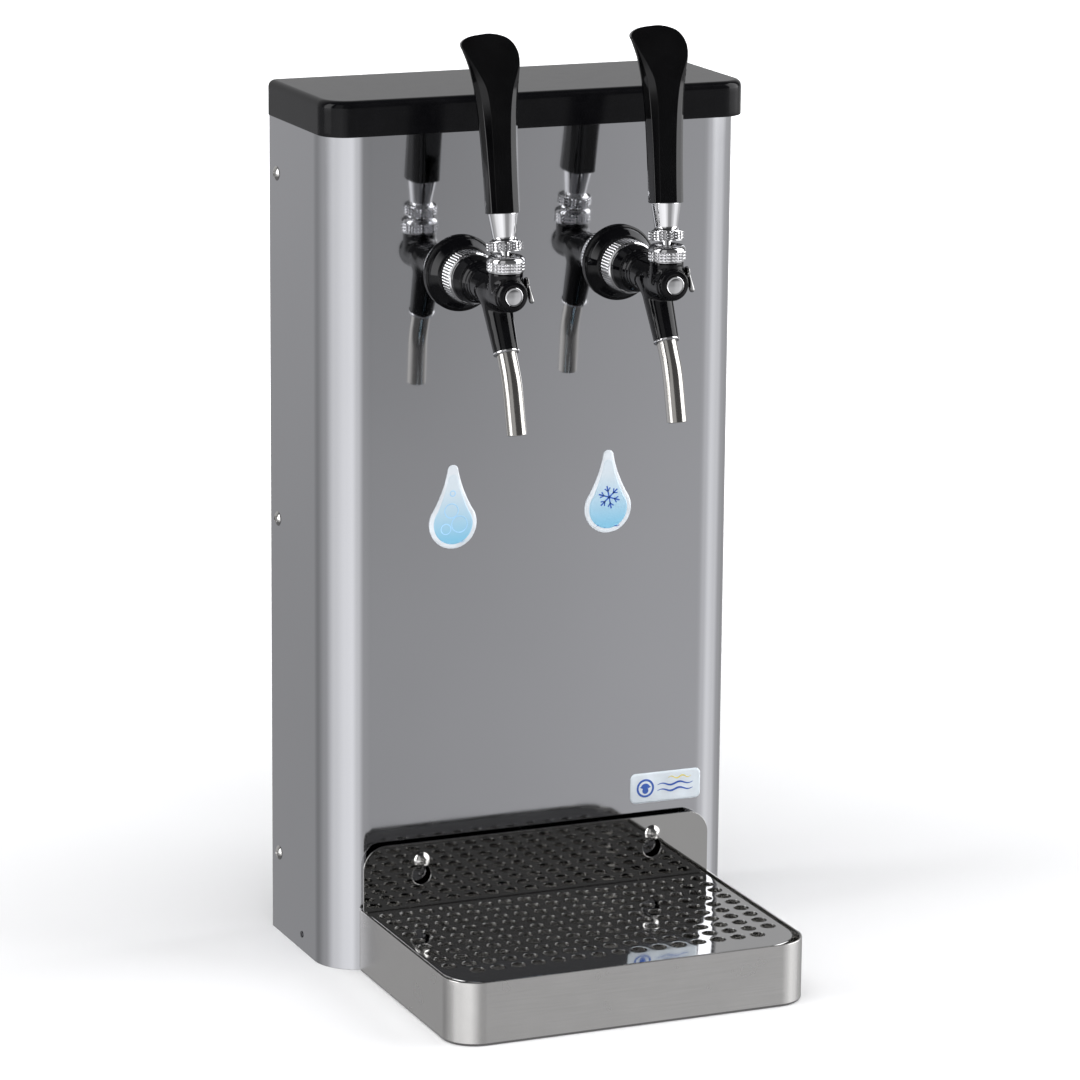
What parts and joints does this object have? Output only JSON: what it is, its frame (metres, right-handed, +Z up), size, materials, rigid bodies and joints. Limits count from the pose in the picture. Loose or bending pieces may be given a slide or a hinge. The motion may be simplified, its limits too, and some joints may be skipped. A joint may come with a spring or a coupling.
{
  "type": "countertop water dispenser",
  "caption": "Slim stainless counter tower with a black lid, paired lever taps with flow control, and a hung drip tray under a lift-off round-hole grille.",
  "frame": {"origin": "centre of the tower's base on the counter", "axes": "+Z up, -Y towards the user, +X to the user's right"},
  "size_m": [0.3194, 0.304, 0.6769],
  "materials": {
    "satin_steel": "bright satin stainless sheet",
    "panel_steel": "satin stainless sheet",
    "plain_steel": "plain stainless steel",
    "lid_black": "gloss black moulding",
    "screw_steel": "polished stainless",
    "rivet_dark": "dark rivet",
    "tray_steel": "satin stainless outside, polished inside",
    "grille_steel": "mirror polished stainless",
    "sign_bubble": "clear resin dome over a pale blue print",
    "sign_snow": "clear resin dome over a pale blue print",
    "sign_badge": "clear resin dome over a pale print",
    "fitting_black": "acetal",
    "line_plastic": "natural tube",
    "foam_black": "closed-cell foam",
    "tap_black": "gloss black moulding",
    "knurled_chrome": "knurled chrome",
    "brass_nut": "turned brass",
    "chrome_trim": "polished chrome",
    "outlet_steel": "satin stainless tube",
    "disc_chrome": "polished chrome",
    "white_plastic": "white acetal",
    "lever_metal": "plated lever",
    "ferrule_chrome": "polished chrome",
    "handle_black": "gloss black moulding",
    "seal_rubber": "silicone seal"
  },
  "bodies": {
    "tower": {"front_shell": "satin_steel", "rear_panel": "panel_steel", "base_plate": "plain_steel", "top_lid": "lid_black", "side_screws": "screw_steel", "side_nuts": "plain_steel", "base_rivets": "rivet_dark", "tap_backplate": "plain_steel", "inlet_bracket": "plain_steel", "tray_screws": "screw_steel", "tray_rivnuts": "plain_steel", "drop_sign_left": "sign_bubble", "drop_sign_right": "sign_snow", "badge": "sign_badge", "inlet_fitting_left": "fitting_black", "inlet_fitting_right": "fitting_black", "product_line_left": "line_plastic", "product_line_right": "line_plastic", "line_sleeve_left": "foam_black", "line_sleeve_right": "foam_black", "wall_flange_left": "tap_black", "wall_flange_right": "tap_black", "coupling_nut_left": "knurled_chrome", "coupling_nut_right": "knurled_chrome", "shank_left": "plain_steel", "shank_right": "plain_steel", "shank_locknut_left": "brass_nut", "shank_locknut_right": "brass_nut", "tail_elbow_left": "fitting_black", "tail_elbow_right": "fitting_black", "tap_body_left": "tap_black", "tap_body_right": "tap_black", "nozzle_ring_left": "chrome_trim", "nozzle_ring_right": "chrome_trim", "outlet_tube_left": "outlet_steel", "outlet_tube_right": "outlet_steel", "front_cap_left": "tap_black", "front_cap_right": "tap_black", "cap_disc_left": "disc_chrome", "cap_disc_right": "disc_chrome", "bonnet_nut_left": "knurled_chrome", "bonnet_nut_right": "knurled_chrome", "friction_ring_left": "white_plastic", "friction_ring_right": "white_plastic"},
    "tray": {"drip_tray": "tray_steel"},
    "grille": {"tray_grille": "grille_steel"},
    "lever_left": {"lever_stem_left": "chrome_trim", "lever_collar_left": "knurled_chrome", "ferrule_left": "ferrule_chrome", "handle_left": "handle_black"},
    "valve_left": {"valve_shaft_left": "plain_steel", "valve_seal_left": "seal_rubber"},
    "flow_left": {"flow_lever_left": "lever_metal"},
    "lever_right": {"lever_stem_right": "chrome_trim", "lever_collar_right": "knurled_chrome", "ferrule_right": "ferrule_chrome", "handle_right": "handle_black"},
    "valve_right": {"valve_shaft_right": "plain_steel", "valve_seal_right": "seal_rubber"},
    "flow_right": {"flow_lever_right": "lever_metal"}
  },
  "joints": [
    {"name": "handle_left", "type": "hinge", "parent": "tower", "child": "lever_left", "pos_m": [-0.06, -0.142, 0.5185], "axis": [1, 0, 0], "range_deg": [0, 25]},
    {"name": "valve_slide_left", "type": "slide", "parent": "tower", "child": "valve_left", "axis": [0, 1, 0], "range_m": [0, 0.0077]},
    {"name": "flow_control_left", "type": "hinge", "parent": "tower", "child": "flow_left", "pos_m": [-0.0467, -0.147, 0.508], "axis": [1, 0, 0], "range_deg": [0, 90]},
    {"name": "handle_right", "type": "hinge", "parent": "tower", "child": "lever_right", "pos_m": [0.06, -0.142, 0.5185], "axis": [1, 0, 0], "range_deg": [0, 25]},
    {"name": "valve_slide_right", "type": "slide", "parent": "tower", "child": "valve_right", "axis": [0, 1, 0], "range_m": [0, 0.0077]},
    {"name": "flow_control_right", "type": "hinge", "parent": "tower", "child": "flow_right", "pos_m": [0.0733, -0.147, 0.508], "axis": [1, 0, 0], "range_deg": [0, 90]},
    {"name": "tray_lift", "type": "slide", "parent": "tower", "child": "tray", "axis": [0, 0, 1], "range_m": [0, 0.011]},
    {"name": "grille_lift", "type": "slide", "parent": "tray", "child": "grille", "axis": [0, 0, 1], "range_m": [0, 0.016]}
  ],
  "couplings": [
    {"joint": "valve_slide_left", "follows": "handle_left", "m_per_rad": 0.01733},
    {"joint": "valve_slide_right", "follows": "handle_right", "m_per_rad": 0.01733}
  ]
}
